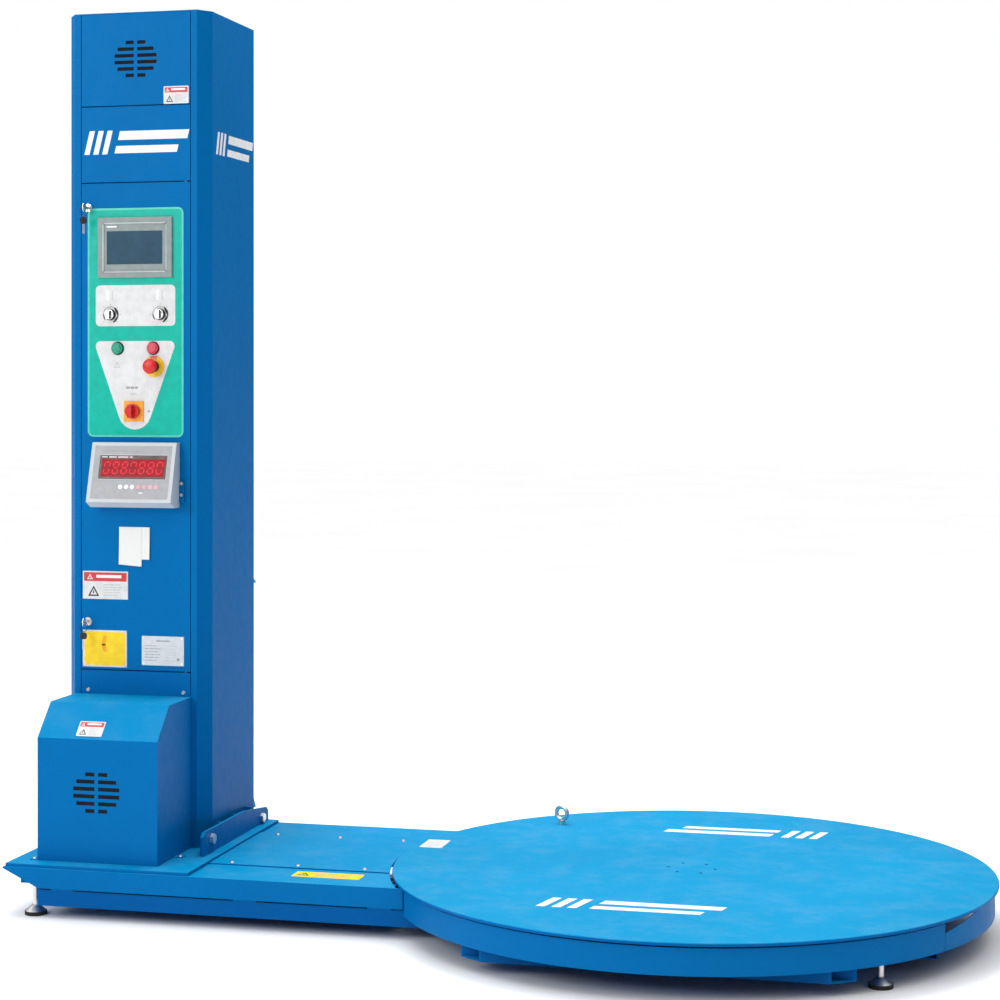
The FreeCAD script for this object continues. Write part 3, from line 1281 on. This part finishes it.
def carriage_guides():
    """Return the four plastic shoes that hold the carriage on the mast."""
    guides = []
    for side in (-1, 1):
        for low in (CARRIAGE_BOTTOM + 30.0, CARRIAGE_TOP - 110.0):
            inner = SLOT_HALF - SLIP
            web = box(inner - 10, inner, MAST_BACK_Y - 13, CARRIAGE_Y, low, low + 80)
            outer = box(inner - 10, inner + 40, MAST_BACK_Y + SLIP, CARRIAGE_Y, low, low + 80)
            hook = box(inner - 10, inner + 40, MAST_BACK_Y - 13, MAST_BACK_Y - SKIN - SLIP, low, low + 80)
            shoe = joined([web, outer, hook])
            if side < 0:
                shoe = shoe.mirror(FreeCAD.Vector(0, 0, 0), FreeCAD.Vector(1, 0, 0))
            shoe.translate(FreeCAD.Vector(MAST_X, 0, 0))
            guides.append(shoe)
    return guides


def film_roller(x, y, radius, pin, low, high):
    """Return a film roller bored for its fixed axle."""
    body = upright(MAST_X + x, y, radius, low, high)
    return body.cut(upright(MAST_X + x, y, pin + RUN_FIT, low - 1, high + 1))


def film_mandrel():
    """Return the mandrel that takes the film core."""
    low = CARRIAGE_BOTTOM + CARRIAGE_SHEET + 1.0
    high = low + MANDREL_LENGTH
    body = upright(MAST_X + MANDREL_X, MANDREL_Y, MANDREL_RADIUS, low, high - 15)
    nose = Part.makeCone(MANDREL_RADIUS, MANDREL_RADIUS - 10, 15,
                         FreeCAD.Vector(MAST_X + MANDREL_X, MANDREL_Y, high - 15))
    whole = joined([body, nose])
    bore = upright(MAST_X + MANDREL_X, MANDREL_Y, MANDREL_PIN + RUN_FIT, low - 1, high - 39)
    return whole.cut(bore)


def dancer_tip():
    """Return where the dancer roller hangs on its arm."""
    return DANCER_X + DANCER_ARM, DANCER_Y


def dancer_arm():
    """Return the swinging frame that senses film tension."""
    low = CARRIAGE_BOTTOM + CARRIAGE_SHEET + 1.0
    high = CARRIAGE_TOP - CARRIAGE_SHEET - 1.0
    x = MAST_X + DANCER_X
    y = DANCER_Y
    tip = MAST_X + dancer_tip()[0]
    sleeve = upright(x, y, 14, low, high)
    pieces = [sleeve]
    for z in (low + 12, high - 20):
        pieces.append(box(x, tip, y - 8, y + 8, z, z + 8))
        pieces.append(upright(tip, y, 8, z, z + 8))
    pieces.append(upright(tip, y, DANCER_AXLE, low + 12, high - 12))
    whole = joined(pieces)
    return whole.cut(upright(x, y, ROLLER_PIN + RUN_FIT, low - 1, high + 1))


# ------------------------------------------------------------------ write files
ROLLER_LOW = CARRIAGE_BOTTOM + CARRIAGE_SHEET + 1.0
ROLLER_HIGH = CARRIAGE_TOP - CARRIAGE_SHEET - 1.0

save("base_frame", base_frame())
save("base_deck", base_deck())
save("mast_foot", mast_foot())
save("tunnel_cover", tunnel_cover())
save("skirt_front", skirt_front())
save("skirt_access", skirt_access())
save("foot_pads", foot_pads())
save("levelling_feet", levelling_feet())
save("centre_bearing", centre_bearing())
save("roller_brackets", roller_brackets())
save("drive_chain", drive_chain())
save("turntable_gearmotor", turntable_gearmotor())
save("motor_cover", motor_cover())
save("panel_screws", panel_screws())
save("mast_shell", mast_shell())
save("mast_cap", mast_cap())
save("vent_panel", vent_panel())
save("mark_panel", mark_panel())
save("lower_panel", lower_panel())
save("foot_bolts", foot_bolts())
save("door_hinge_pins", door_hinge_pins())
save("electrical_plate", electrical_plate())
save("control_gear", control_gear())
save("lift_gearmotor", lift_gearmotor())
save("lift_chain", lift_chain())
save("turntable_disc", turntable_disc())
save("disc_screws", disc_screws())
save("disc_eyebolt", disc_eyebolt())
save("turntable_chainwheel", turntable_chainwheel())
for number, place_angle in enumerate(roller_places()):
    save("support_roller_" + str(number + 1), support_roller(place_angle))
save("drive_sprocket", drive_sprocket())
save("control_door", control_door())
save("control_overlay", control_overlay())
save("door_locks", door_locks())
save("upper_key", door_key(lock_places()[0]))
save("lower_key", door_key(lock_places()[1]))
save("hmi_panel", hmi_panel())
save("switch_collars", switch_collars())
save("selector_left", turning_knob(control_places()[0], OVERLAY_Y - 4.5, 13.0, 8.0, 8.0))
save("selector_right", turning_knob(control_places()[1], OVERLAY_Y - 4.5, 13.0, 8.0, 8.0))
save("start_button", push_button(control_places()[2]))
save("stop_button", push_button(control_places()[3]))
save("emergency_stop", emergency_stop())
save("main_switch_knob", turning_knob(control_places()[5], OVERLAY_Y - 4.5, SWITCH_KNOB, 14.0, 11.0))
save("weight_indicator", weight_indicator())
save("ticket_paper", ticket_paper())
save("door_plates", door_plates())
save("lift_sprocket_top", lift_sprocket_top())
save("lift_sprocket_bottom", lift_sprocket_bottom())
save("carriage_frame", carriage_frame())
save("carriage_guides", carriage_guides())
save("film_mandrel", film_mandrel())
for number, (roller_x, roller_y) in enumerate(stretch_places()):
    roller = film_roller(roller_x, roller_y, STRETCH_RADIUS, ROLLER_PIN, ROLLER_LOW, ROLLER_HIGH)
    save("prestretch_roller_" + str(number + 1), roller)
save("idler_roller", film_roller(IDLER_X, IDLER_Y, IDLER_RADIUS, ROLLER_PIN, ROLLER_LOW, ROLLER_HIGH))
save("dancer_arm", dancer_arm())
save("dancer_roller", film_roller(dancer_tip()[0], dancer_tip()[1], DANCER_RADIUS, DANCER_AXLE,
                                  ROLLER_LOW + 21, ROLLER_HIGH - 21))
